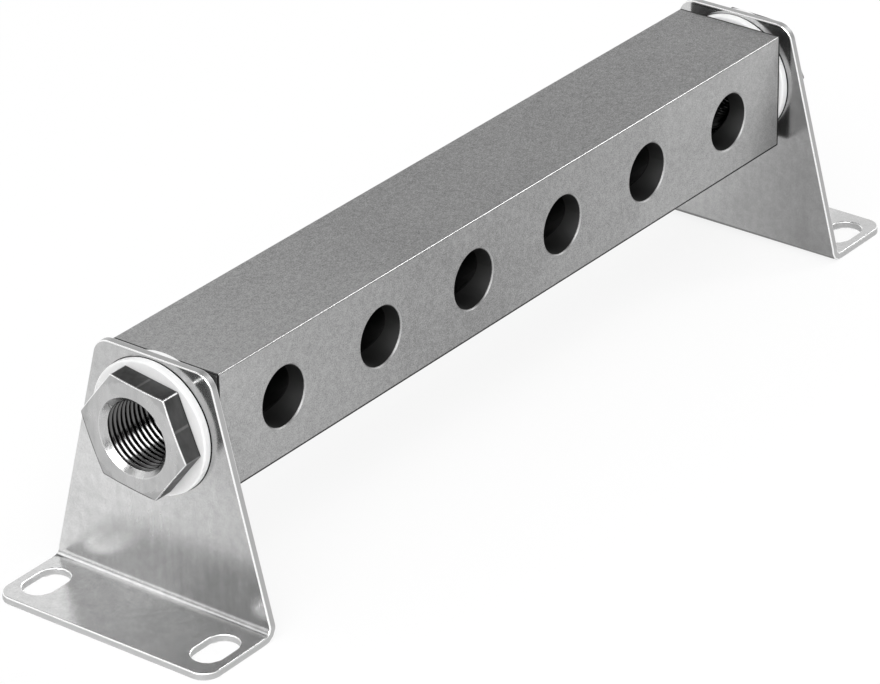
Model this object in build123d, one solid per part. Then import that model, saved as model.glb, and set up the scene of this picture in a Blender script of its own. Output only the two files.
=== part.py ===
from build123d import *
from build123d.topology import topo_explore_connected_faces
import os
from math import cos, radians, tan

# Driving dimensions in millimetres. X runs along the rail, Z is up, and the feet stand on z = 0.

# Rail: a square aluminium bar with one gallery bored along it and a row of cross bores through it
rail_side = 27.5
rail_edge_round = 0.4
rail_end_break = 0.2
cross_bore_count = 6
cross_bore_pitch = 32.0
cross_bore_d = 13.5
cross_bore_mouth = 0.3        # width of the chamfer at each mouth
end_margin = 20.5             # end face to the axis of the first cross bore

# Half inch pipe thread between bushing and rail, drawn plain at its pitch diameter
thread_major_d = 20.95
thread_pitch_d = 19.8
thread_clearance = 0.05       # left all round between the two threaded walls
engaged_length = 11.5         # shank inside the rail
thread_runout = 1.5           # thread in the rail past the end of the shank
port_mouth = 0.8

# Bracket: one bent sheet, a tapered wall that stands on a foot turned away from the rail
sheet = 1.8
bend_radius = 1.5             # on the inside of the bend
port_height = 41.0            # underside of the foot to the gallery axis
wall_rim = 0.65               # top of the wall above the washer
wall_top_width = 29.4
wall_corner_radius = 4.4
foot_corner_radius = 4.0
slot_width = 7.2
slot_length = 11.6
slot_spacing = 45.0
slot_side_margin = 2.2        # side of the foot to a slot
slot_end_margin = 3.8         # end of the foot to a slot
slot_bend_margin = 3.1        # end of the bend to a slot
neck_clearance = 0.15         # left all round the bushing's neck in the sheet and the washers
sheet_edge_break = 0.25

# Sealing washers, one on each side of each bracket's wall
washer_d = 29.6
washer_thickness = 2.0

# Reducing bushing: hexagon head, neck and threaded shank, bored for a 3/8 inch pipe thread
hex_flats = 24.0
hex_height = 5.0
hex_corner_trim = 0.75        # what turning takes off each corner at both faces of the head
hex_trim_angle = 30.0
left_hex_turn = 7.8           # degrees that each head came to rest at when it was tightened
right_hex_turn = -2.0
shank_lead = 1.0
bushing_bore_d = 14.95
bushing_mouth = 1.4

# Derived sizes
rail_length = 2 * end_margin + (cross_bore_count - 1) * cross_bore_pitch
rail_end = rail_length / 2
gallery_d = 2 * thread_pitch_d - thread_major_d   # the thread's tap drill, drilled right through
port_thread_depth = engaged_length + thread_runout
wall_inner_face = rail_end + washer_thickness
wall_outer_face = wall_inner_face + sheet
head_seat = wall_outer_face + washer_thickness
neck_length = head_seat - rail_end
neck_hole_d = thread_major_d + 2 * neck_clearance
wall_top = port_height + washer_d / 2 + wall_rim
foot_width = slot_spacing + slot_width + 2 * slot_side_margin
foot_reach = bend_radius + slot_bend_margin + slot_length + slot_end_margin
hex_corners_d = hex_flats / cos(radians(30))


def manifold_rail():
    bar = Box(rail_length, rail_side, rail_side)
    bar = fillet(bar.edges().filter_by(Axis.X), rail_edge_round)
    bar = chamfer(bar.faces().filter_by(Axis.X).edges(), rail_end_break)
    bar -= Rot(0, 90, 0) * Cylinder(gallery_d / 2, rail_length)
    port = blind_bore(thread_pitch_d, port_thread_depth, port_mouth, rail_end)
    for end in (-90, 90):
        bar -= Rot(0, end, 0) * port
    half_cross_bore = blind_bore(cross_bore_d, rail_side / 2, cross_bore_mouth, rail_side / 2)
    for i in range(cross_bore_count):
        x = end_margin - rail_end + i * cross_bore_pitch
        for face in (-90, 90):
            bar -= Pos(x, 0, 0) * Rot(face, 0, 0) * half_cross_bore
    return Pos(0, 0, port_height) * bar


def blind_bore(bore_d, depth, mouth_width, surface):
    # Sunk from the plane z = surface towards -Z, with a 45 degree chamfer at its mouth
    mouth = Cone(bore_d / 2, bore_d / 2 + mouth_width, mouth_width)
    bore = Pos(0, 0, surface - depth / 2) * Cylinder(bore_d / 2, depth)
    return bore + Pos(0, 0, surface - mouth_width / 2) * mouth


def bracket():
    # Drawn for the left end: inner wall face on x = 0, foot towards -X
    reach = sheet + foot_reach
    side_view = Pos(-sheet / 2, wall_top / 2) * Rectangle(sheet, wall_top)
    side_view += Pos(-reach / 2, sheet / 2) * Rectangle(reach, sheet)
    heel = side_view.vertices().sort_by_distance((0, 0))[0]
    side_view = fillet(heel, bend_radius + sheet)
    crook = side_view.vertices().sort_by_distance((-sheet, sheet))[0]
    side_view = fillet(crook, bend_radius)
    bent_sheet = extrude(Plane.XZ * side_view, foot_width / 2, both=True)

    # The wall tapers from the bend up to its rounded top corners
    taper_start = sheet + bend_radius
    half_top, half_foot = wall_top_width / 2, foot_width / 2
    front_view = make_face(Polyline(
        (half_foot, 0), (half_foot, taper_start), (half_top, wall_top),
        (-half_top, wall_top), (-half_foot, taper_start), (-half_foot, 0), close=True))
    front_view = fillet(front_view.vertices().group_by(Axis.Y)[-1], wall_corner_radius)
    front_view = fillet(front_view.vertices().group_by(Axis.Y)[1], foot_corner_radius)
    plate = bent_sheet & extrude(Plane.YZ * front_view, -reach)
    plate = fillet(plate.edges().filter_by(Axis.Z).group_by(Axis.X)[0], foot_corner_radius)

    plate = chamfer(sharp_edges(plate), sheet_edge_break)

    slot_x = slot_end_margin + slot_length / 2 - reach
    for side in (-1, 1):
        slot = extrude(SlotOverall(slot_length, slot_width), sheet)
        plate -= Pos(slot_x, side * slot_spacing / 2, 0) * slot
    return plate - Pos(-sheet / 2, 0, port_height) * Rot(0, 90, 0) * Cylinder(neck_hole_d / 2, sheet)


def sharp_edges(solid):
    # The edges where two faces meet at an angle, rather than run on into each other
    sharp = []
    for edge in solid.edges():
        faces = [Face(side) for side in topo_explore_connected_faces(edge, solid)]
        normals = [face.normal_at(edge @ 0.5) for face in faces]
        if len(normals) == 2 and normals[0].get_angle(normals[1]) > 45:
            sharp.append(edge)
    return sharp


def sealing_washer():
    # Drawn for the left end: seated on x = 0, thickness towards -X
    ring = Cylinder(washer_d / 2, washer_thickness) - Cylinder(neck_hole_d / 2, washer_thickness)
    return Pos(-washer_thickness / 2, 0, 0) * Rot(0, 90, 0) * ring


def reducing_bushing(turn):
    # Drawn for the left end: the head's seat on x = 0, its face towards -X, the shank towards +X
    hexagon = Rot(0, 0, turn) * RegularPolygon(hex_flats / 2, 6, major_radius=False)
    head = extrude(Plane.YZ * hexagon, -hex_height)
    # Turning both faces of the head to a shallow cone takes its corners off
    face_r = hex_corners_d / 2 - hex_corner_trim
    trim_depth = hex_corner_trim * tan(radians(hex_trim_angle))
    blank = half_section(
        (0, 0), (0, face_r), (-trim_depth, hex_corners_d / 2),
        (trim_depth - hex_height, hex_corners_d / 2), (-hex_height, face_r), (-hex_height, 0))

    neck_r = thread_major_d / 2
    shank_r = thread_pitch_d / 2 - thread_clearance
    tip = neck_length + engaged_length
    stem = half_section(
        (0, 0), (0, neck_r), (neck_length, neck_r), (neck_length, shank_r),
        (tip - shank_lead, shank_r), (tip, shank_r - shank_lead), (tip, 0))

    bore_r = bushing_bore_d / 2
    bore = half_section(
        (-hex_height, 0), (-hex_height, bore_r + bushing_mouth), (bushing_mouth - hex_height, bore_r),
        (tip, bore_r), (tip, 0))
    return (head & blank) + stem - bore


def half_section(*outline):
    # Turned solid about the X axis, from the points (x, r) of its outline
    return revolve(make_face(Polyline(*outline, close=True)), Axis.X)


# The right end is the left end turned half round about Z
ends = {"left": (Rot(0, 0, 0), left_hex_turn), "right": (Rot(0, 0, 180), right_hex_turn)}
parts = {"manifold_rail": manifold_rail()}
for end, (facing, hex_turn) in ends.items():
    on_gallery = facing * Pos(0, 0, port_height)
    parts[f"{end}_inner_washer"] = on_gallery * Pos(-rail_end, 0, 0) * sealing_washer()
    parts[f"{end}_bracket"] = facing * Pos(-wall_inner_face, 0, 0) * bracket()
    parts[f"{end}_outer_washer"] = on_gallery * Pos(-wall_outer_face, 0, 0) * sealing_washer()
    parts[f"{end}_bushing"] = on_gallery * Pos(-head_seat, 0, 0) * reducing_bushing(hex_turn)

os.makedirs("parts", exist_ok=True)
for name, solid in parts.items():
    solid.label = name
    export_step(solid, f"parts/{name}.step")
    print(name, round(solid.volume, 1), "mm3")
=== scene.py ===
import bpy
import numpy as np
from math import asin, atan2, ceil, cos, pi, radians, sin, tan
from mathutils import Matrix, Vector
from mathutils.geometry import delaunay_2d_cdt


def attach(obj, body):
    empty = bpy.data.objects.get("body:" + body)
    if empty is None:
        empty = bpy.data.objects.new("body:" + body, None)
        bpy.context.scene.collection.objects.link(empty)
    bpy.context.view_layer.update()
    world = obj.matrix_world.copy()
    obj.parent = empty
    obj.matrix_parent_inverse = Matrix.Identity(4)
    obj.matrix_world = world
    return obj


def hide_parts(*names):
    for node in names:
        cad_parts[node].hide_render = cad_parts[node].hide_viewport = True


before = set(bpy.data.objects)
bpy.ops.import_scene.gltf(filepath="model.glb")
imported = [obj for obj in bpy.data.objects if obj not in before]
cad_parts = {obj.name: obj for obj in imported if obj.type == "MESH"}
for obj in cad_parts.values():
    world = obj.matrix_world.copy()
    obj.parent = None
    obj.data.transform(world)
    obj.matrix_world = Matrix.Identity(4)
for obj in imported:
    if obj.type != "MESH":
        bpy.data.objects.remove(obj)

print("frame loaded:", len(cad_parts), "nodes")
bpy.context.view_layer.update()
scene = bpy.context.scene
mm = 0.001  # all sizes below are in millimetres and are multiplied by this

# sizes that several pieces share
shared = {
    "axisHeight": 41.0,   # floor to the gallery's axis
    "railEnd": 100.5,     # middle of the rail to its end face
    "sheet": 1.8,         # thickness of a bracket
    "washer": 2.0,        # thickness of a washer
    "washerOuter": 29.6,
    "neckHole": 21.25,    # hole in brackets and washers for the bushing's neck
}
axisHeight, railEnd = shared["axisHeight"], shared["railEnd"]
wallInner = railEnd + shared["washer"]  # the bracket's wall, counted from the middle of the rail
wallOuter = wallInner + shared["sheet"]
headSeat = wallOuter + shared["washer"]


def newPiece(name, points, faces, normals=None, **masks):
    # points in millimetres, faces as lists of point numbers, optional normals and named values per point
    mesh = bpy.data.meshes.new(name)
    mesh.from_pydata((np.asarray(points) * mm).tolist(), [], faces)
    mesh.validate()
    mesh.update()
    mesh.shade_smooth()
    for label, values in masks.items():
        layer = mesh.attributes.new(label, "FLOAT", "POINT")
        layer.data.foreach_set("value", np.asarray(values, np.float32))
    if normals is not None:
        mesh.normals_split_custom_set_from_vertices(np.asarray(normals).tolist())
    piece = bpy.data.objects.new(name, mesh)
    scene.collection.objects.link(piece)
    return piece


def wrapGrid(rows, columns):
    # quads of a grid that closes on itself both ways, rows x columns points numbered row by row
    i, j = np.meshgrid(np.arange(rows), np.arange(columns), indexing="ij")
    a = i * columns + j
    b = i * columns + (j + 1) % columns
    c = ((i + 1) % rows) * columns + (j + 1) % columns
    d = ((i + 1) % rows) * columns + j
    return np.stack([a, b, c, d], -1).reshape(-1, 4)


def newMaterial(name, colour, rough, metallic=0.0):
    # a plain grey to start from: what is linked to a socket later takes the place of its number
    material = bpy.data.materials.new(name)
    material.use_nodes = True
    shader = material.node_tree.nodes["Principled BSDF"]
    shader.inputs["Base Color"].default_value = (colour, colour, colour, 1)
    shader.inputs["Roughness"].default_value = rough
    shader.inputs["Metallic"].default_value = metallic
    return material, material.node_tree, shader


def dress(piece, material):
    if not piece.material_slots:
        piece.data.materials.append(material)
    for slot in piece.material_slots:
        slot.material = material


def feed(tree, slot, value):
    # a number is set on the input, a socket is linked to it
    if isinstance(value, (int, float)):
        slot.default_value = value
    else:
        tree.links.new(value, slot)


def calc(tree, operation, *values):
    # one step of arithmetic on numbers and sockets
    node = tree.nodes.new("ShaderNodeMath")
    node.operation = operation
    for slot, value in zip(node.inputs, values):
        feed(tree, slot, value)
    return node.outputs[0]


def plus(tree, total, *others):
    for other in others:
        total = calc(tree, "ADD", total, other)
    return total


def times(tree, product, *others):
    for other in others:
        product = calc(tree, "MULTIPLY", product, other)
    return product


def blend(tree, share, a, b):
    # a where share is 0 and b where it is 1, for values
    node = tree.nodes.new("ShaderNodeMix")
    for slot, value in (("Factor", share), ("A", a), ("B", b)):
        feed(tree, node.inputs[slot], value)
    return node.outputs["Result"]


def spread(tree, value, low, high, fromLow=0.3, fromHigh=0.7):
    # carries fromLow to low and fromHigh to high, and goes on past both
    node = tree.nodes.new("ShaderNodeMapRange")
    node.clamp = False
    for key, number in (("From Min", fromLow), ("From Max", fromHigh), ("To Min", low), ("To Max", high)):
        node.inputs[key].default_value = number
    tree.links.new(value, node.inputs["Value"])
    return node.outputs["Result"]


def within(tree, coordinate, start, full):
    # rises from 0 where a coordinate is at start to 1 at full, both in millimetres, and stays there
    node = tree.nodes.new("ShaderNodeMapRange")
    node.inputs["From Min"].default_value = start * mm
    node.inputs["From Max"].default_value = full * mm
    tree.links.new(coordinate, node.inputs["Value"])
    return node.outputs["Result"]


def here(tree):
    # where a point lies, in metres
    return tree.nodes.new("ShaderNodeTexCoord").outputs["Object"]


def split(tree, vector):
    node = tree.nodes.new("ShaderNodeSeparateXYZ")
    tree.links.new(vector, node.inputs[0])
    return node.outputs


def fromAxis(tree, y, z):
    # distance from the gallery's axis
    rise = calc(tree, "SUBTRACT", z, axisHeight * mm)
    return calc(tree, "SQRT", plus(tree, times(tree, y, y), times(tree, rise, rise)))


def mask(tree, label):
    # what the mesh carries per point under this name
    node = tree.nodes.new("ShaderNodeAttribute")
    node.attribute_name = label
    return node.outputs["Fac"]


def bump(tree, height, look, normal=None):
    # look is the strength and the depth in millimetres
    strength, depth = look
    node = tree.nodes.new("ShaderNodeBump")
    node.inputs["Strength"].default_value = strength
    node.inputs["Distance"].default_value = depth * mm
    tree.links.new(height, node.inputs["Height"])
    if normal is not None:
        tree.links.new(normal, node.inputs["Normal"])
    return node.outputs["Normal"]


def newGroup(name, **numbers):
    # a node group that reads a vector and the named numbers, and puts out one value
    group = bpy.data.node_groups.new(name, "ShaderNodeTree")
    panel = group.interface
    panel.new_socket("vector", in_out="INPUT", socket_type="NodeSocketVector")
    for label, number in numbers.items():
        panel.new_socket(label, in_out="INPUT", socket_type="NodeSocketFloat").default_value = number
    panel.new_socket("value", in_out="OUTPUT", socket_type="NodeSocketFloat")
    enter, leave = group.nodes.new("NodeGroupInput"), group.nodes.new("NodeGroupOutput")
    return group, enter.outputs, leave.inputs["value"]


def addNoise(tree, vector, scale, detail, distortion=0.0):
    noise = tree.nodes.new("ShaderNodeTexNoise")
    tree.links.new(vector, noise.inputs["Vector"])
    tree.links.new(scale, noise.inputs["Scale"])
    noise.inputs["Detail"].default_value = detail
    noise.inputs["Distortion"].default_value = distortion
    return noise.outputs["Fac"]


def makeGrain():
    # Grain of a blasted or plated skin: a fine and a coarse noise mixed to a value around 0.5
    group, given, result = newGroup("grain", scale=4000.0, coarseScale=400.0, coarseShare=0.4)
    fine = addNoise(group, given["vector"], given["scale"], 2.0)
    coarse = addNoise(group, given["vector"], given["coarseScale"], 4.0)
    group.links.new(blend(group, given["coarseShare"], fine, coarse), result)
    return group


def makeClouding():
    # Soft clouds, handling smudges and faint upright streaks mixed to a value around 0.5
    group, given, result = newGroup("clouding", scale=60.0, streakScale=300.0, streakShare=0.25)
    stretch = group.nodes.new("ShaderNodeMapping")
    stretch.inputs["Scale"].default_value = (1.0, 1.0, 0.08)  # noise drawn out along z becomes streaks
    group.links.new(given["vector"], stretch.inputs["Vector"])
    cloud = addNoise(group, given["vector"], given["scale"], 5.0, 0.6)
    streak = addNoise(group, stretch.outputs["Vector"], given["streakScale"], 3.0)
    group.links.new(blend(group, given["streakShare"], cloud, streak), result)
    return group


def place(tree, group, vector, **numbers):
    # puts a node group into a material, with numbers of its own
    node = tree.nodes.new("ShaderNodeGroup")
    node.node_tree = group
    tree.links.new(vector, node.inputs["vector"])
    for label, number in numbers.items():
        node.inputs[label].default_value = number
    return node.outputs["value"]


grain = makeGrain()
clouding = makeClouding()
print("grain and clouding made")


# Tones are the surface's own colour, 0 for black and 1 for white. A line or a run is where a mask starts and
# where it is full: a line in millimetres inside the side or the end that it follows, a run in coordinates.
rail = {
    "side": 27.5,
    "grain": {"scale": 3200.0, "coarseScale": 900.0, "coarseShare": 0.3}, "grainBump": (0.3, 0.06),
    "clouds": {"scale": 35.0, "streakShare": 0.1},
    "low": 0.17, "high": 0.37,                      # the skin's tones
    "grainSpread": (0.0, 0.8, 0.38, 0.62), "cloudSpread": (-0.1, 0.3),  # what both noises add between them
    "rough": (0.38, 0.46), "edgeRough": 0.25, "boreRough": 0.6,
    "bareEdgeHighlightTone": 0.6, "edgeLine": (0.22, 0.14),      # the two upper long edges: bare, with a painted highlight
    "underShadeTone": 0.02, "underShadeLine": (0.64, 0.56),   # the two lower long edges, painted shade
    # painted shade: the end faces, and a dark band on the faces along each end
    "endShadeTone": 0.2, "endShadeFace": (0.03, 0.01), "endShadeLineTone": 0.02, "endShadeLine": (0.68, 0.6),
    "mouthTone": 0.45, "mouthLines": ((0.22, 0.14), (0.01, 0.03)),      # a bore's chamfer, by depth
    "mouthClear": ((0.4, 0.6), (0.5, 0.8)),         # and how far it stays from the ends and the long edges
    # painted shade inside the bores, darker still on the gallery's wall
    "boreShadeTone": 0.075, "boreLine": (0.3, 0.36),
    "galleryShadeTone": 0.03, "galleryRadius": (9.6, 9.4),
    "faceBlend": 0.5,                               # over which the top's lightness turns into the front's
    "frontPaintedLight": 0.17, "farPaintedLight": 0.2, "farRun": (-20.0, 30.0),         # painted light: upright faces lighter, and more so along x
    "paintedEndLight": 0.55, "paintedEndLightRun": (30.0, 100.0),       # and painted light that lightens the skin towards the ends
}


def finishRail():
    # Blasted skin with a fine grain; the upper long edges are bare with a painted highlight, the lower ones
    # painted shade, the bores machined and darkened with painted shade, the ends painted shade, and the
    # upright
    # faces and the ends lighter with painted light. The masks come from a point's distances to the axis in y
    # and z:
    # the larger is half the side on a face and less in a bore, the smaller nears half the side towards a long
    # edge.
    p = rail
    material, tree, shader = newMaterial("blastedAluminium", 0.32, 0.42, 1.0)
    at = here(tree)
    x, y, z = split(tree, at)
    half = p["side"] / 2
    ahead, across = calc(tree, "ABSOLUTE", x), calc(tree, "ABSOLUTE", y)
    aloft = calc(tree, "ABSOLUTE", calc(tree, "SUBTRACT", z, axisHeight * mm))
    smaller, larger = calc(tree, "MINIMUM", across, aloft), calc(tree, "MAXIMUM", across, aloft)

    def line(distance, limit, ends):
        return within(tree, distance, limit - ends[0], limit - ends[1])

    edge = line(smaller, half, p["edgeLine"])
    above = within(tree, z, axisHeight, axisHeight + 1)
    # painted shade along the two lower long edges
    underShade = times(tree, line(smaller, half, p["underShadeLine"]), calc(tree, "SUBTRACT", 1.0, above))
    (deep, shallow), (clearEnd, clearEdge) = p["mouthLines"], p["mouthClear"]
    mouth = times(tree, line(larger, half, deep), line(larger, half, shallow),
                  line(ahead, railEnd, clearEnd), line(smaller, half, clearEdge))
    inside = line(larger, half, p["boreLine"])
    galleryWall = within(tree, fromAxis(tree, y, z), *p["galleryRadius"])
    endShadeFace, endShadeLine = line(ahead, railEnd, p["endShadeFace"]), line(ahead, railEnd, p["endShadeLine"])

    # the skin's lightness, from 0 for low to 1 for high, with painted light on the upright faces and towards
    # the ends
    skin = place(tree, grain, at, **p["grain"])
    cloud = place(tree, clouding, at, **p["clouds"])
    upright = within(tree, calc(tree, "SUBTRACT", across, aloft), -p["faceBlend"], p["faceBlend"])
    start, full = p["paintedEndLightRun"]  # painted light: the right end lightens on its upright faces only
    paintedEndLight = plus(tree, times(tree, within(tree, x, start, full), upright), within(tree, x, -start, -full))
    paintedFarLight = times(tree, within(tree, x, *p["farRun"]), p["farPaintedLight"])
    lightness = plus(tree, spread(tree, skin, *p["grainSpread"]), spread(tree, cloud, *p["cloudSpread"]),
                     times(tree, paintedEndLight, p["paintedEndLight"]), times(tree, upright, plus(tree, paintedFarLight, p["frontPaintedLight"])))

    colour = spread(tree, lightness, p["low"], p["high"], 0.0, 1.0)
    # painted highlight on the bare upper long edges
    colour = blend(tree, times(tree, edge, above), colour, p["bareEdgeHighlightTone"])
    colour = blend(tree, underShade, colour, p["underShadeTone"])
    colour = blend(tree, mouth, colour, p["mouthTone"])
    # painted shade inside the bores and on the gallery's wall
    colour = blend(tree, inside, colour, blend(tree, galleryWall, p["boreShadeTone"], p["galleryShadeTone"]))
    # painted shade on the end faces and in a band along each end
    colour = blend(tree, endShadeFace, blend(tree, endShadeLine, colour, p["endShadeLineTone"]), p["endShadeTone"])
    tree.links.new(colour, shader.inputs["Base Color"])
    rough = blend(tree, edge, spread(tree, cloud, *p["rough"]), p["edgeRough"])
    tree.links.new(blend(tree, inside, rough, p["boreRough"]), shader.inputs["Roughness"])
    tree.links.new(bump(tree, skin, p["grainBump"]), shader.inputs["Normal"])
    return material


dress(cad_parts["manifold_rail"], finishRail())
print("rail finished")


bracket = {
    "bendRadius": 1.5, "top": 56.45, "topWidth": 29.4, "topCorner": 4.4,
    "footWidth": 56.6, "reach": 21.8, "footCorner": 4.0,
    "slotLength": 11.6, "slotWidth": 7.2, "slotSpacing": 45.0, "slotEndMargin": 3.8,
    "edgeRound": 0.3,
    # finish
    "grain": {"scale": 2600.0, "coarseScale": 500.0, "coarseShare": 0.5}, "grainBump": (0.15, 0.03),
    "clouds": {"scale": 70.0, "streakScale": 700.0, "streakShare": 0.35}, "cloudBump": (0.12, 0.3),
    "low": 0.575, "high": 0.71,                     # the skin's tones
    "grainSpread": (-0.4, 0.4, 0.35, 0.65), "cloudSpread": (0.05, 0.8),
    "rough": (0.22, 0.28), "rubbedRough": 0.17, "cutRough": 0.5,
    # the broken edges: bare, with a painted highlight halfway round each rounding
    "bareEdgeHighlightTone": 0.95, "cutTone": 0.5,
    "seamTone": 0.05, "seamLine": (0.22, 0.12),     # painted shade: a dark line round the washers, outside their radius
    # painted shade: shares by which the sheet darkens towards its top and its front, on the outer side and on
    # the side towards the rail (a share below 0 is painted light), then all over the side towards the rail,
    # low down there and along the heel
    "topPaintedShadeAndLight": (0.2, -0.1), "topRun": (28.0, 50.0),
    "frontPaintedShade": (0.2, 0.33), "frontRun": (8.0, -20.0),
    "innerPaintedShade": 0.1,
    "lowPaintedShade": 0.12, "lowRun": (34.0, 4.0),
    "heelPaintedShade": 0.9, "heelRun": (2.2, 1.2),
}
halfTop, halfFoot = bracket["topWidth"] / 2, bracket["footWidth"] / 2
# along the flat sheet, s is 0 where the wall meets the bend, rises up the wall and falls along the foot
foldHeight = shared["sheet"] + bracket["bendRadius"]
bendLength = (bracket["bendRadius"] + shared["sheet"] / 2) * pi / 2
topS = bracket["top"] - foldHeight
footS = -bendLength - (bracket["reach"] - foldHeight)
slotS = footS + bracket["slotEndMargin"] + bracket["slotLength"] / 2
holeS = axisHeight - foldHeight


def rays(angle):
    # unit vectors at the angles
    return np.stack([np.cos(angle), np.sin(angle)], -1)


def roundedOutline(corners, radii, spacing=1.2, arcStep=6.0):
    # A closed outline, counter-clockwise, with points and outward normals. Each corner is cut off by an arc
    # round a centre that lies radius * tan(turn / 2) back along the side before it and radius to its left.
    corners = np.asarray(corners, float)
    count = len(corners)
    arcs, arcNormals = [], []
    for k in range(count):
        corner = corners[k]
        inward, outward = corner - corners[k - 1], corners[(k + 1) % count] - corner
        inward, outward = inward / np.linalg.norm(inward), outward / np.linalg.norm(outward)
        turn = np.arctan2(inward[0] * outward[1] - inward[1] * outward[0], inward @ outward)
        radius = radii[k]
        start = corner - inward * radius * tan(turn / 2)
        centre = start + radius * np.array([-inward[1], inward[0]])
        steps = max(3, int(ceil(abs(turn) / radians(arcStep))))
        ray = rays(atan2(-inward[0], inward[1]) + np.linspace(0, turn, steps + 1))
        arcs.append(centre + radius * ray)
        arcNormals.append(ray)
    points, normals = [], []
    for k in range(count):
        a, b = arcs[k][-1], arcs[(k + 1) % count][0]
        t = np.linspace(0, 1, max(1, int(np.linalg.norm(b - a) / spacing)) + 1)[1:-1, None]
        points += [arcs[k], a + (b - a) * t]
        normals += [arcNormals[k], np.repeat(arcNormals[k][-1:], len(t), 0)]
    return np.concatenate(points), np.concatenate(normals)


def stadiumOutline(centre, length, width, steps=22):
    # Two half circles joined by straight runs, run clockwise as a hole, with normals into the hole
    half, radius = (length - width) / 2, width / 2
    right = rays(np.linspace(pi / 2, -pi / 2, steps))
    ray = np.concatenate([right, -right])
    points = np.asarray(centre) + ray * radius
    points[:, 0] += np.repeat([half, -half], steps)
    return points, -ray


def circleOutline(centre, radius, steps=120):
    # centre + radius * ray for falling angles, so clockwise as a hole, with normals into the hole
    ray = rays(np.linspace(0, -2 * pi, steps, endpoint=False))
    return np.asarray(centre) + radius * ray, -ray


def sheetOutlines():
    # The flat sheet's outline, from one side of the foot up the wall and down the other side, and its holes
    p = bracket
    corners = [(footS, -halfFoot), (0, -halfFoot), (topS, -halfTop),
               (topS, halfTop), (0, halfFoot), (footS, halfFoot)]
    foot, top = p["footCorner"], p["topCorner"]
    slots = [stadiumOutline((slotS, side * p["slotSpacing"] / 2), p["slotLength"], p["slotWidth"])
             for side in (1, -1)]
    return [roundedOutline(corners, [foot, foot, top, top, foot, foot]),
            circleOutline((holeS, 0), shared["neckHole"] / 2)] + slots


def gapToHoles(flat):
    # how far flat points (s, y) lie outside the neck's hole and outside the nearer slot
    s, y = flat.T
    p = bracket
    alongSlot = np.clip(np.abs(s - slotS) - (p["slotLength"] - p["slotWidth"]) / 2, 0, None)
    return (np.hypot(s - holeS, y) - shared["neckHole"] / 2,
            np.hypot(alongSlot, np.abs(y) - p["slotSpacing"] / 2) - p["slotWidth"] / 2)


def innerPoints(spacing=3.0, footSpacing=2.0, margin=1.2, slotMargin=0.9, span=27.0):
    # Points in rows and columns on the flat wall and foot, without those near an edge, a hole or a corner
    flat = []
    for low, high, step in ((3.0, topS - 1, spacing), (footS + 1.5, -bendLength - 1, footSpacing)):
        grid = np.meshgrid(np.arange(low, high, step), np.arange(-span, span + 0.1, step), indexing="ij")
        flat.append(np.stack(grid, -1).reshape(-1, 2))
    flat = np.concatenate(flat)
    s, y = flat[:, 0], np.abs(flat[:, 1])
    hole, slot = gapToHoles(flat)
    keep = y < halfFoot - np.clip(s, 0, None) * (halfFoot - halfTop) / topS - margin
    keep &= (hole > margin) & (slot > slotMargin)
    foot, top = bracket["footCorner"], bracket["topCorner"]
    for sign, cornerS, cornerY, radius in (
            (1, footS + foot, halfFoot - foot, foot), (-1, top - topS, halfTop - top, top)):
        beyond = (sign * s < cornerS) & (y > cornerY)
        keep &= ~(beyond & (np.hypot(sign * s - cornerS, y - cornerY) > radius - margin))
    return flat[keep]


def chain(start, count, closed):
    # pairs of neighbouring point numbers along a run of points
    number = start + np.arange(count)
    pairs = np.column_stack([number, np.roll(number, -1)])
    return (pairs if closed else pairs[:-1]).tolist()


def fillFlat(rims, bendLines=15, linePoints=31, lineMargin=1.5):
    # Triangles over the flat sheet between its rims, with straight rows of points across the bend. Gives the
    # points, the triangles and for each point its number on the rims, or -1.
    across = np.linspace(lineMargin - halfFoot, halfFoot - lineMargin, linePoints)
    rows = [np.column_stack([np.full(linePoints, s), across])
            for s in np.linspace(0, -bendLength, bendLines)]
    runs = rims + rows
    starts = np.cumsum([0] + [len(run) for run in runs])
    edges = []
    for start, run in zip(starts, runs):
        edges += chain(start, len(run), start < starts[len(rims)])
    given = np.concatenate(runs + [innerPoints()])
    insideOnly, nearest, touching = 1, 1e-5, 1e-3
    made = delaunay_2d_cdt(list(map(Vector, given.tolist())), edges, [], insideOnly, nearest)
    field, triangles = np.array(list(map(tuple, made[0]))), np.array(made[2])
    hole, slot = gapToHoles(field[triangles].mean(1))
    triangles = triangles[np.minimum(hole, slot) >= bracket["edgeRound"] * 0.5]
    onRims = np.concatenate(rims)
    gap = np.linalg.norm(field[:, None] - onRims[None], axis=2)
    return field, triangles, np.where(gap.min(1) < touching, gap.argmin(1), -1)


def bendSheet(flat, flatNormal, radius, thickness):
    # flat: (s, y, w), s up along the sheet from where the bend begins, y across, w from the middle of the
    # sheet towards the rail. Above the bend the sheet stands up, in the bend it turns round the bend's
    # centre by s / mid radius, past it the sheet runs away from the rail.
    s, y, w = flat.T
    mid = radius + thickness / 2
    arc = mid * pi / 2
    turn = np.clip(-s, 0, arc) / mid
    run = np.clip(-s - arc, 0, None)
    rise = np.clip(s, 0, None)
    reach = mid + w
    centreX, centreZ = -(thickness + radius), thickness + radius
    x = centreX + reach * np.cos(turn) - run
    z = centreZ - reach * np.sin(turn) + rise
    ns, ny, nw = flatNormal.T
    nx = nw * np.cos(turn) + ns * np.sin(turn)
    nz = -nw * np.sin(turn) + ns * np.cos(turn)
    return np.stack([x, y, z], -1), np.stack([nx, ny, nz], -1)


def turnOutwards(block, points, normals):
    # A face whose own side, the cross product of its edges, faces away from its points' normals is reversed
    corner = points[block]
    side = np.cross(corner[:, 1] - corner[:, 0], corner[:, 2] - corner[:, 0])
    wrong = np.sum(side * normals[block].sum(1), 1) < 0
    return np.where(wrong[:, None], block[:, ::-1], block)


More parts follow.
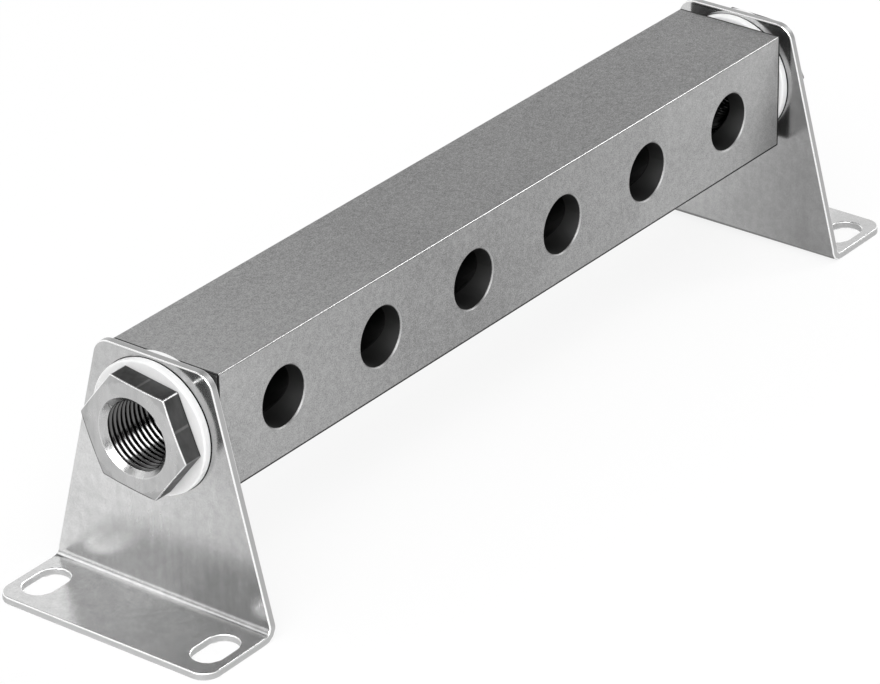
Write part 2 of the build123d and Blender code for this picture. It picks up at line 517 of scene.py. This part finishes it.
def makeBracket(name, facing, arcSteps=5):
    # The flat sheet: each outline carries a rounded profile across the edge as rings of points, the two flat
    # sides are closed by the same triangles, and the whole is bent. facing is -1 at the left end and 1 at the
    # right.
    thick, edge = shared["sheet"], bracket["edgeRound"]
    quarter = np.linspace(0, pi / 2, arcSteps + 1)
    # profile across the edge, from the side facing the rail to the other: inset from the outline, height w,
    # and the normal's part along the outline's outward normal and along w
    inset = np.concatenate([edge * (1 - np.sin(quarter)), edge * (1 - np.cos(quarter))])
    height = np.concatenate(
        [thick / 2 - edge * (1 - np.cos(quarter)), -(thick / 2 - edge) - edge * np.sin(quarter)])
    outPart = np.concatenate([np.sin(quarter), np.cos(quarter)])
    wPart = np.concatenate([np.cos(quarter), -np.sin(quarter)])
    steps = len(inset)

    flat, normal, faces = [], [], []
    masks = {"rim": [], "cut": [], "wall": [], "inner": []}

    def add(points, normals, **shares):
        # a batch of points with their normals and the masks' values, 0 where none is given
        flat.append(points)
        normal.append(normals)
        for label, store in masks.items():
            store.append(np.broadcast_to(shares.get(label, 0.0), len(points)))

    start = 0
    rims, numbers = [], []
    for points, outward in sheetOutlines():
        count = len(points)
        ring = points[:, None, :] - outward[:, None, :] * inset[None, :, None]
        block = np.concatenate([ring, np.broadcast_to(height[None, :, None], (count, steps, 1))], -1)
        blockNormal = np.concatenate([
            outward[:, None, :] * outPart[None, :, None],
            np.broadcast_to(wPart[None, :, None], (count, steps, 1))], -1)
        # rim is 1 halfway round each rounding, where the painted highlight goes, cut on the cut edge,
        # inner on the side towards the rail
        add(block.reshape(-1, 3), blockNormal.reshape(-1, 3),
            rim=np.tile(np.clip(4 * outPart * np.abs(wPart), 0, 1), count),
            cut=np.tile(outPart ** 6, count), inner=np.tile((wPart > 0.999) * 1.0, count))
        i, j = np.meshgrid(np.arange(count), np.arange(steps - 1), indexing="ij")
        a = start + i * steps + j
        b = start + ((i + 1) % count) * steps + j
        faces.append(np.stack([a, b, b + 1, a + 1], -1).reshape(-1, 4))
        rims.append(ring[:, 0])
        numbers.append(start + np.arange(count) * steps)
        start += count * steps

    # the two flat sides: the same triangles, on points of the rings and on points of their own
    field, triangles, onRim = fillFlat(rims)
    extra = np.where(onRim < 0)[0]
    front = np.concatenate(numbers)
    for sign, number in ((1, front), (-1, front + steps - 1)):
        index = np.where(onRim < 0, 0, number[onRim])
        index[extra] = start + np.arange(len(extra))
        add(np.column_stack([field[extra], np.full(len(extra), sign * thick / 2)]),
            np.tile([0.0, 0.0, float(sign)], (len(extra), 1)), wall=1.0, inner=float(sign > 0))
        start += len(extra)
        faces.append(index[triangles][:, ::sign])

    points, normals = bendSheet(np.concatenate(flat), np.concatenate(normal), bracket["bendRadius"], thick)
    points[:, 0] -= wallInner
    allFaces = [f for block in faces for f in turnOutwards(block, points, normals).tolist()]
    if facing > 0:
        points[:, :2] *= -1
        normals[:, :2] *= -1
    masks = {label: np.concatenate(store) for label, store in masks.items()}
    piece = newPiece(name, points, allFaces, normals, **masks)
    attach(piece, "root")
    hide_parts(name.replace("Sheet", "_bracket"))
    return piece


def finishSheet():
    # Plated sheet: soft clouds and faint streaks, rubbed smoother towards its top, bare along its broken
    # edges with a painted highlight, and painted shade in a line round the washers, towards its top and its
    # front, and on the side towards the rail all over, low down and along the heel.
    p = bracket
    material, tree, shader = newMaterial("platedSheet", 0.62, 0.2, 1.0)
    at = here(tree)
    _, y, z = split(tree, at)
    skin = place(tree, grain, at, **p["grain"])
    cloud = place(tree, clouding, at, **p["clouds"])
    share = plus(tree, spread(tree, cloud, *p["cloudSpread"]), spread(tree, skin, *p["grainSpread"]))
    colour = blend(tree, share, p["low"], p["high"])
    inner, cut = mask(tree, "inner"), mask(tree, "cut")
    top, forward = within(tree, z, *p["topRun"]), within(tree, y, *p["frontRun"])
    low = times(tree, within(tree, z, *p["lowRun"]), inner)
    heelShade = times(tree, within(tree, z, *p["heelRun"]), inner)
    # painted shade towards the top and the front, low down and along the heel, and on the side towards the
    # rail
    paintedShade = plus(tree, times(tree, top, blend(tree, inner, *p["topPaintedShadeAndLight"])),
                times(tree, forward, blend(tree, inner, *p["frontPaintedShade"])),
                times(tree, low, p["lowPaintedShade"]), times(tree, inner, p["innerPaintedShade"]))
    paintedShade = calc(tree, "MAXIMUM", paintedShade, times(tree, heelShade, p["heelPaintedShade"]))
    colour = times(tree, colour, calc(tree, "SUBTRACT", 1.0, paintedShade))
    rim = shared["washerOuter"] / 2
    start, full = p["seamLine"]
    # painted shade in a thin line round the washers
    seam = times(tree, within(tree, fromAxis(tree, y, z), rim + start, rim + full), mask(tree, "wall"))
    colour = blend(tree, seam, colour, p["seamTone"])
    colour = blend(tree, cut, colour, p["cutTone"])
    # painted highlight halfway round each rounded edge, on bare metal
    tree.links.new(blend(tree, mask(tree, "rim"), colour, p["bareEdgeHighlightTone"]), shader.inputs["Base Color"])
    rough = blend(tree, top, spread(tree, cloud, *p["rough"]), p["rubbedRough"])
    tree.links.new(blend(tree, cut, rough, p["cutRough"]), shader.inputs["Roughness"])
    fine = bump(tree, skin, p["grainBump"])
    tree.links.new(bump(tree, cloud, p["cloudBump"], fine), shader.inputs["Normal"])
    return material


leftSheet = makeBracket("leftSheet", -1)
rightSheet = makeBracket("rightSheet", 1)
sheetMetal = finishSheet()
for piece in (leftSheet, rightSheet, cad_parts["left_bracket"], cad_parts["right_bracket"]):
    dress(piece, sheetMetal)
print("brackets made:", len(leftSheet.data.polygons), "faces each")


washer = {
    "edgeRound": 0.4,
    "grain": {"scale": 3000.0, "coarseScale": 500.0, "coarseShare": 0.5}, "grainBump": (0.15, 0.05),
    "low": 0.87, "high": 0.93, "rough": (0.35, 0.5),
    "seamTone": 0.02, "seamLine": (0.2, 0.12),      # painted shade: the dark line beside metal, inside the washer's side
    "innerSeamShade": 0.4,                               # its strength on the washers beside the rail
    "softness": 0.1, "softDepth": 0.8,              # how much light goes into the plastic, and how deep
}


def makeWasher(name, node, seat, seams, depth=1.0, steps=160, arcPoints=7, near=0.06):
    # A ring: a rectangle with rounded corners, turned about the gallery's axis. seat is the x of its middle;
    # the sides given (-1, 1), on which it meets metal, get a dark line of painted shade, depth that line's
    # strength.
    half, rim = shared["washer"] / 2, washer["edgeRound"]
    outerR, innerR = shared["washerOuter"] / 2 - rim, shared["neckHole"] / 2 + rim
    quarter = np.linspace(pi / 2, 0, arcPoints)
    corners = []
    for k, (middleR, sign) in enumerate(((outerR, 1), (outerR, -1), (innerR, -1), (innerR, 1))):
        corners.append(np.array([middleR, sign * (half - rim)]) + rim * rays(quarter - k * pi / 2))
    # straight runs get a point close to each arc, so that the flat sides shade flat
    profile = []
    for k in range(4):
        a, b = corners[k][-1], corners[(k + 1) % 4][0]
        step = (b - a) * near / np.linalg.norm(b - a)
        profile += [corners[k], [a + step, b - step]]
    r, x = np.concatenate(profile).T
    turn = np.linspace(0, 2 * pi, steps, endpoint=False)
    points = np.stack([
        np.broadcast_to(seat + x, (steps, len(r))),
        np.cos(turn)[:, None] * r,
        axisHeight + np.sin(turn)[:, None] * r], -1).reshape(-1, 3)
    start, full = washer["seamLine"]
    # painted shade: a dark line on the sides that meet metal
    seam = depth * sum(np.clip((side * x - half + start) / (start - full), 0, 1) for side in seams)
    piece = newPiece(name, points, wrapGrid(steps, len(r)).tolist(), seam=np.tile(seam, steps))
    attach(piece, "root")
    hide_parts(node)
    return piece


def finishWasher():
    # White plastic with a faint grain that lets a little light in, with painted shade where it meets metal
    p = washer
    material, tree, shader = newMaterial("offWhitePlastic", 0.9, 0.4)
    skin = place(tree, grain, here(tree), **p["grain"])
    colour = blend(tree, spread(tree, skin, 0.0, 1.0), p["low"], p["high"])
    # painted shade where the washer meets metal
    tree.links.new(blend(tree, mask(tree, "seam"), colour, p["seamTone"]), shader.inputs["Base Color"])
    tree.links.new(spread(tree, skin, *p["rough"]), shader.inputs["Roughness"])
    tree.links.new(bump(tree, skin, p["grainBump"]), shader.inputs["Normal"])
    shader.inputs["Subsurface Weight"].default_value = p["softness"]
    shader.inputs["Subsurface Radius"].default_value = [p["softDepth"] * mm] * 3
    return material


besideRail, besideHead = railEnd + shared["washer"] / 2, wallOuter + shared["washer"] / 2  # their middles
washers = [
    makeWasher("leftInnerWasher", "left_inner_washer", -besideRail, (-1,), washer["innerSeamShade"]),
    makeWasher("leftOuterWasher", "left_outer_washer", -besideHead, (1,)),
    makeWasher("rightInnerWasher", "right_inner_washer", besideRail, (1,), washer["innerSeamShade"]),
    makeWasher("rightOuterWasher", "right_outer_washer", besideHead, (-1,)),
]
washerPlastic = finishWasher()
for piece in washers:
    dress(piece, washerPlastic)
for node in ("left_inner_washer", "left_outer_washer", "right_inner_washer", "right_outer_washer"):
    dress(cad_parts[node], washerPlastic)
print("washers made")


bushing = {
    "flats": 24.0, "headHeight": 5.0, "cornerRound": 0.3, "edgeRound": 0.2, "seatRound": 0.24,
    "cornerTrim": 1.85, "trimAngle": 8.0,           # the shallow cone that turning leaves round the face
    "bore": 14.95, "mouth": 1.4, "tipMouth": 1.0, "tipFace": (1.6, 1.1),
    "borePitch": 1.337, "boreThreadDepth": 0.856, "runIn": 1.1, "boreRows": 13,     # rows of points a turn
    "neck": 20.95, "neckLength": 5.8,
    "shank": 19.7, "shankLength": 11.5, "lead": 1.0,
    "shankPitch": 1.814, "shankThreadDepth": 0.5, "shankPhase": 0.2, "shankRows": 12,
    "leftTurn": 7.8, "rightTurn": -2.0,             # degrees at which each head came to rest
    # finish
    "grain": {"scale": 3000.0, "coarseScale": 500.0, "coarseShare": 0.5}, "grainBump": (0.2, 0.03),
    "clouds": {"scale": 130.0, "streakScale": 900.0, "streakShare": 0.35}, "cloudBump": (0.2, 0.2),
    "low": 0.42, "high": 0.57, "flankTone": 0.085, "grooveTone": 0.01, "threadShadeTone": 0.13, "bareEdgeHighlightTone": 0.95,
    "flankSpread": (0.7, 1.5),                      # how the clouds dull and brighten the flats
    "rough": (0.22, 0.32), "threadRough": 0.14, "flankRough": 0.5,
    # how strong the masks are: bare at the mouth and at the face's edge, at the corners bare below and bare
    # with a painted highlight above, dull on the face's cone, faint along the middle of each flat, painted
    # shade in the bore up to this far from the tip
    "mouthBare": (0.2, 0.25), "edgeBare": 0.7, "cornerBareHighlight": (0.15, 1.0), "coneDull": 0.2, "drawnLine": 0.22,
    "shadeLength": 9.0, "shadeFade": 2.0,
}


def hexOutline(turn):
    # Angle and radius round a hexagon whose corners are rounded by small arcs, and which points lie on the
    # middle of a flat. On a flat the radius is the hypotenuse of half the width over the flats and of the way
    # along the flat.
    apothem, cornerRound = bushing["flats"] / 2, bushing["cornerRound"]
    half = np.concatenate([[0.02], np.linspace(0.06, 0.93, 10), [0.985, 1.0]])
    share = np.concatenate([-half[::-1], half])  # close together at the middle and the ends of each flat
    along = (apothem - cornerRound) * tan(pi / 6) * share
    sweep = np.linspace(-pi / 6, pi / 6, 6)[1:-1]
    px = (apothem - cornerRound) / cos(pi / 6) + cornerRound * np.cos(sweep)
    py = cornerRound * np.sin(sweep)
    sideAngle = np.concatenate([np.arctan2(along, apothem), pi / 6 + np.arctan2(py, px)])
    radius = np.concatenate([np.hypot(along, apothem), np.hypot(px, py)])
    middle = np.concatenate([np.abs(share) < 0.03, np.zeros(len(sweep), bool)])
    # the first corner lies at pi / 6 from the first flat's middle, and the turn counts from a corner
    angle = (np.arange(6)[:, None] * pi / 3 + sideAngle).ravel() + radians(turn) - pi / 6
    return angle, np.tile(radius, 6), np.tile(middle, 6)


def threadForm(phase, sharpness=0.96):
    # 0 at the root and 1 at the crest: a triangle wave with its peaks and valleys rounded off
    return 0.5 + np.arcsin(sharpness * np.sin(2 * pi * phase)) / (2 * asin(sharpness))


def makeBushing(name, node, facing, turn):
    # A grid of angles and rows: every row has a place along the axis and a radius, and either may change with
    # the angle, as on the threads and the hexagon. From the tip the rows run out through the bore, over the
    # face and the flats to the seat, and back along the neck and the shank. facing is -1 at the left end.
    p = bushing
    angle, hexRadius, middle = hexOutline(turn)
    theta, full = angle[:, None], hexRadius[:, None]
    face, tip = -p["headHeight"], p["neckLength"] + p["shankLength"]
    boreR, mouth, edge, seat = p["bore"] / 2, p["mouth"], p["edgeRound"], p["seatRound"]
    corners = p["flats"] / cos(pi / 6)
    faceR = corners / 2 - p["cornerTrim"]
    slope = tan(radians(p["trimAngle"]))
    # 1 along the two edges of the face that meet in its lower left corner, which get painted shade in place
    # of a bare rim
    paintedShadeBelow = np.clip((np.cos(theta - radians(turn - 60)) - cos(pi / 3)) / 0.06, 0, 1)
    rows = {"radius": [], "axial": [], "rim": [], "groove": [], "flank": [], "thread": []}

    def add(radius, axial, **shares):
        # rows of points, with the masks' values, 0 where none is given
        shape = (len(angle), max(np.shape(radius)[-1], np.shape(axial)[-1]))
        given = {"radius": radius, "axial": axial, **shares}
        for label, store in rows.items():
            store.append(np.broadcast_to(np.asarray(given.get(label, 0.0), float), shape))

    def threadPhase(x, pitch):
        return x / pitch - theta / (2 * pi)

    # bore from the tip to the mouth: minor radius, opened by the thread's groove and by the two chamfers,
    # with painted shade in the thread's valleys
    count = int((tip - face) / p["borePitch"] * p["boreRows"])
    x = np.linspace(tip, face + mouth * 0.35, count)[None, :]
    cut = 1 - threadForm(threadPhase(x, p["borePitch"]))
    chamferOut, chamferIn = boreR + mouth - (x - face), boreR + p["tipMouth"] - (tip - x)
    started = np.clip((x - face - mouth * 0.6) / p["runIn"], 0, 1)  # the thread runs in over its first turn
    threaded = boreR + p["boreThreadDepth"] * cut * started
    inThread = (threaded >= chamferOut) * started
    deep = np.clip((x - tip + p["shadeLength"]) / p["shadeFade"], 0, 1)  # painted shade: towards the gallery all is black
    add(np.maximum(np.maximum(threaded, chamferOut), chamferIn), x, thread=inThread,
        groove=np.maximum(np.clip(cut * 3 - 1.2, 0, 1) * inThread, deep))
    # mouth chamfer to the face
    t = np.array([0.28, 0.16, 0.06])
    add(boreR + mouth - mouth * t, face + mouth * t, rim=[0, 0, p["mouthBare"][0]])
    # face, with its corners turned off to a shallow cone: height falls by the slope past faceR
    inner = boreR + mouth
    t = np.concatenate([[0.0, 0.02, 0.3, 0.6], 1 - np.geomspace(0.25, 0.012, 13), [1.0]])[None, :]
    r = inner + (full - edge - inner) * t
    add(r, face + slope * np.clip(r - faceR, 0, None),
        rim=(t == 0) * p["mouthBare"][1] + (t == 1) * p["edgeBare"] * (1 - paintedShadeBelow),
        groove=np.clip((t - 0.955) / 0.02, 0, 1) * paintedShadeBelow, flank=(r > faceR) * p["coneDull"])
    # the face's rounded edge
    q = np.linspace(0, pi / 2, 5)[None, 1:]
    drop = slope * np.clip(full - faceR, 0, None)
    add(full - edge + edge * np.sin(q), face + drop + edge * (1 - np.cos(q)),
        rim=np.array([1, 1, 1, 0.8]) * (1 - paintedShadeBelow), groove=paintedShadeBelow)
    # flats and the rounded corners between them, bare with a painted highlight above and dull below, down to
    # a dark line of painted shade
    highlightBelow, highlightAbove = p["cornerBareHighlight"]
    corner = np.clip((full - corners / 2 + p["cornerRound"] * 0.45) / 0.08, 0, 1)
    corner = corner * np.where(np.sin(theta) > 0.1, highlightAbove, highlightBelow)
    first, last = face + drop + edge, -seat
    t = np.array([0.02, 0.25, 0.5, 0.75, 0.94, 0.965])
    add(full, first + (last - first) * t, rim=corner, groove=[0, 0, 0, 0, 0, 1],
        flank=1 - corner - middle[:, None] * p["drawnLine"])
    # rounded edge at the seat, then the seat in to the neck, both in painted shade
    q = np.linspace(0, pi / 2, 5)
    add(full - seat + seat * np.cos(q), -seat + seat * np.sin(q), groove=1)
    neckR = p["neck"] / 2
    t = np.concatenate([1 - np.geomspace(0.25, 0.03, 6)[::-1], [0.4, 0.02, 0.0]])
    add(neckR + (full - seat - neckR) * t, np.zeros(len(t)), groove=1)
    # neck, then the threaded shank with its lead, and the tip back to the bore in painted shade
    add([neckR] * 4, [0.05, 2.0, 4.0, p["neckLength"] - 0.05])
    count = int(p["shankLength"] / p["shankPitch"] * p["shankRows"])
    x = np.linspace(p["neckLength"], tip, count)[None, :]
    crest = p["shank"] / 2
    form = threadForm(threadPhase(x, p["shankPitch"]) + p["shankPhase"])
    add(np.minimum(crest - p["shankThreadDepth"] * (1 - form), crest - (x - (tip - p["lead"]))), x)
    add(boreR + np.array(p["tipFace"]), [tip, tip], groove=1)

    whole = {label: np.concatenate(store, 1) for label, store in rows.items()}
    radius, axial = whole.pop("radius"), whole.pop("axial")
    points = np.stack([axial - headSeat, radius * np.cos(theta), axisHeight + radius * np.sin(theta)], -1)
    points = points.reshape(-1, 3)
    if facing > 0:
        points[:, :2] *= -1
    masks = {label: values.ravel() for label, values in whole.items()}
    piece = newPiece(name, points, wrapGrid(*radius.shape).tolist(), **masks)
    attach(piece, "root")
    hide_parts(node)
    return piece


def finishBushing():
    # Turned face is bright, the smooth thread painted darker as shade inside the bore, the drawn flats of the
    # hexagon are dull and scratched, edges are bare with a painted highlight above, painted shade in the
    # grooves
    p = bushing
    material, tree, shader = newMaterial("turnedPlated", 0.5, 0.25, 1.0)
    at = here(tree)
    skin = place(tree, grain, at, **p["grain"])
    cloud = place(tree, clouding, at, **p["clouds"])
    thread, flank = mask(tree, "thread"), mask(tree, "flank")
    colour = blend(tree, spread(tree, cloud, 0.0, 1.0), p["low"], p["high"])
    # painted shade: the thread inside the bore is darker
    colour = blend(tree, thread, colour, p["threadShadeTone"])
    # painted shade in the thread's valleys, deep in the bore, at the seat, on the tip and on the face's lower
    # left edges
    colour = blend(tree, mask(tree, "groove"), colour, p["grooveTone"])
    dull = times(tree, spread(tree, cloud, *p["flankSpread"]), p["flankTone"])
    colour = blend(tree, flank, colour, dull)
    # bare edges with a painted highlight, the corners above brighter than below
    tree.links.new(blend(tree, mask(tree, "rim"), colour, p["bareEdgeHighlightTone"]), shader.inputs["Base Color"])
    rough = blend(tree, thread, spread(tree, cloud, *p["rough"]), p["threadRough"])
    tree.links.new(blend(tree, flank, rough, p["flankRough"]), shader.inputs["Roughness"])
    fine = bump(tree, skin, p["grainBump"])
    tree.links.new(bump(tree, cloud, p["cloudBump"], fine), shader.inputs["Normal"])
    return material


leftBushing = makeBushing("leftBushing", "left_bushing", -1, bushing["leftTurn"])
rightBushing = makeBushing("rightBushing", "right_bushing", 1, bushing["rightTurn"])
bushingMetal = finishBushing()
for piece in (leftBushing, rightBushing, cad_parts["left_bushing"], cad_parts["right_bushing"]):
    dress(piece, bushingMetal)
print("bushings made:", len(leftBushing.data.polygons), "faces each")


studio = {
    "floorHalf": 6.0,       # metres
    "floorGrey": 1.0,
    "floorDrop": 0.05,      # millimetres that the floor lies under the feet
    "floorLift": 0.85,      # share of plain white that the camera sees in the floor, for a faint shadow
    "metalLift": 0.6,       # and the share that metal sees
    "fill": 0.68,           # the room's light on everything that isn't a mirror
    "paper": 1.05,          # the white sweep, as metal sees it
    "room": 0.14,           # the dim room above the sweep
    "paperTop": 36.0,       # degrees above the floor at which the sweep ends
    "paperSoft": 4.0,
    "aimHeight": 0.04,      # metres above the floor at which the lamps point
}
# cards hung round the rail that only metal sees: azimuth from +X towards +Y, elevation, half width and
# softness in degrees, then brightness
cards = {
    "darkSide": (-46.0, 15.0, 12.0, 11.0, 0.06),
    "backLeft": (128.0, 50.0, 16.0, 12.0, 1.6),
    "backRight": (42.0, 22.0, 6.0, 9.0, 1.35),
    "dimBack": (142.0, 31.0, 6.0, 9.0, 0.52),
    "boreDark": (-152.0, 9.0, 12.0, 5.0, 0.02),
    "boreLight": (-170.0, 27.0, 16.0, 3.0, 10.0),
    "mouthLight": (-108.0, 30.0, 12.0, 8.0, 2.2),
    "mouthDark": (150.0, 50.0, 7.0, 6.0, 0.05),
}
# lamps: azimuth, elevation, distance, width, height, power
lamps = {
    "overhead": (-154.0, 42.0, 1.6, 1.4, 1.0, 12.6),
    "rightRim": (-24.0, 40.0, 1.5, 0.35, 0.5, 3.6),
}


def makeFloor():
    # White paper. Camera and metal see it with a share of plain white mixed in, so its shadow stays faint.
    half = studio["floorHalf"]
    mesh = bpy.data.meshes.new("floor")
    corners = [(-half, -half, 0), (half, -half, 0), (half, half, 0), (-half, half, 0)]
    mesh.from_pydata(corners, [], [(0, 1, 2, 3)])
    floor = bpy.data.objects.new("floor", mesh)
    scene.collection.objects.link(floor)
    floor.location.z = -studio["floorDrop"] * mm
    material, tree, shader = newMaterial("paperFloor", studio["floorGrey"], 0.9)
    shader.inputs["Specular IOR Level"].default_value = 0.0
    white, both = tree.nodes.new("ShaderNodeEmission"), tree.nodes.new("ShaderNodeMixShader")
    light = tree.nodes.new("ShaderNodeLightPath").outputs
    metal = calc(tree, "MAXIMUM", light["Is Glossy Ray"], light["Is Transmission Ray"])
    lift = plus(tree, times(tree, light["Is Camera Ray"], studio["floorLift"]),
                times(tree, metal, studio["metalLift"]))
    tree.links.new(lift, both.inputs[0])
    tree.links.new(shader.outputs[0], both.inputs[1])
    tree.links.new(white.outputs[0], both.inputs[2])
    tree.links.new(both.outputs[0], tree.nodes["Material Output"].inputs["Surface"])
    mesh.materials.append(material)


def towards(azimuth, elevation):
    a, e = radians(azimuth), radians(elevation)
    return (cos(e) * cos(a), cos(e) * sin(a), sin(e))


def makeWorld():
    # The camera sees plain white. Metal sees the white sweep low down, a dim room above it and the cards.
    world = bpy.data.worlds.new("studio")
    scene.world = world
    world.use_nodes = True
    tree = world.node_tree
    nodes, links = tree.nodes, tree.links
    nodes.clear()

    def smooth(value, fromMin, fromMax, toMin, toMax):
        node = nodes.new("ShaderNodeMapRange")
        node.interpolation_type = "SMOOTHSTEP"
        for key, number in (
                ("From Min", fromMin), ("From Max", fromMax), ("To Min", toMin), ("To Max", toMax)):
            node.inputs[key].default_value = number
        links.new(value, node.inputs["Value"])
        return node.outputs["Result"]

    def join(share, a, b):
        node = nodes.new("ShaderNodeMixShader")
        for slot, value in zip(node.inputs, (share, a, b)):
            links.new(value, slot)
        return node.outputs[0]

    light = nodes.new("ShaderNodeLightPath").outputs
    direction = nodes.new("ShaderNodeTexCoord").outputs["Generated"]
    top, soft = studio["paperTop"], studio["paperSoft"]
    level = smooth(split(tree, direction)["Z"], sin(radians(top - soft)), sin(radians(top + soft)),
                   studio["paper"], studio["room"])
    for azimuth, elevation, half, softness, brightness in cards.values():
        facing = nodes.new("ShaderNodeVectorMath")
        facing.operation = "DOT_PRODUCT"
        facing.inputs[1].default_value = towards(azimuth, elevation)
        links.new(direction, facing.inputs[0])
        share = smooth(facing.outputs["Value"], cos(radians(half + softness)), cos(radians(half)), 0.0, 1.0)
        level = blend(tree, share, level, brightness)
    metalSees, fill, white = [nodes.new("ShaderNodeBackground") for _ in range(3)]
    links.new(level, metalSees.inputs["Color"])
    fill.inputs["Color"].default_value = white.inputs["Color"].default_value = (1, 1, 1, 1)
    fill.inputs["Strength"].default_value = studio["fill"]
    shiny = calc(tree, "MAXIMUM", light["Is Glossy Ray"], light["Is Transmission Ray"])
    unseen = join(shiny, fill.outputs[0], metalSees.outputs[0])
    seen = join(light["Is Camera Ray"], unseen, white.outputs[0])
    links.new(seen, nodes.new("ShaderNodeOutputWorld").inputs["Surface"])


def softBox(name, azimuth, elevation, distance, width, height, power):
    # a lamp on the sphere round the rail, facing its middle
    back = Vector(towards(azimuth, elevation))
    lamp = bpy.data.lights.new(name, "AREA")
    lamp.shape = "RECTANGLE"
    lamp.size, lamp.size_y = width, height
    lamp.energy = power
    box = bpy.data.objects.new(name, lamp)
    box.location = back * distance + Vector((0, 0, studio["aimHeight"]))
    box.rotation_euler = back.to_track_quat("Z", "Y").to_euler()
    scene.collection.objects.link(box)


makeFloor()
makeWorld()
for name, values in lamps.items():
    softBox(name, *values)
print("studio made")


view = {
    "spot": (-0.72556, -0.55239, 0.49504),  # metres
    "azimuth": -142.319, "elevation": 27.759, "roll": -1.016,
    "lens": 193.185, "sensor": 36.0,
    "clip": (0.05, 50.0),
}
camera = bpy.data.objects.new("camera", bpy.data.cameras.new("camera"))
scene.collection.objects.link(camera)
camera.location = view["spot"]
facing = Vector(towards(view["azimuth"], view["elevation"])).to_track_quat("Z", "Y").to_matrix()
camera.rotation_euler = (facing @ Matrix.Rotation(radians(view["roll"]), 3, "Z")).to_euler()
camera.data.lens, camera.data.sensor_width = view["lens"], view["sensor"]
camera.data.clip_start, camera.data.clip_end = view["clip"]
scene.camera = camera
scene.view_settings.view_transform = "Standard"
print("camera placed")
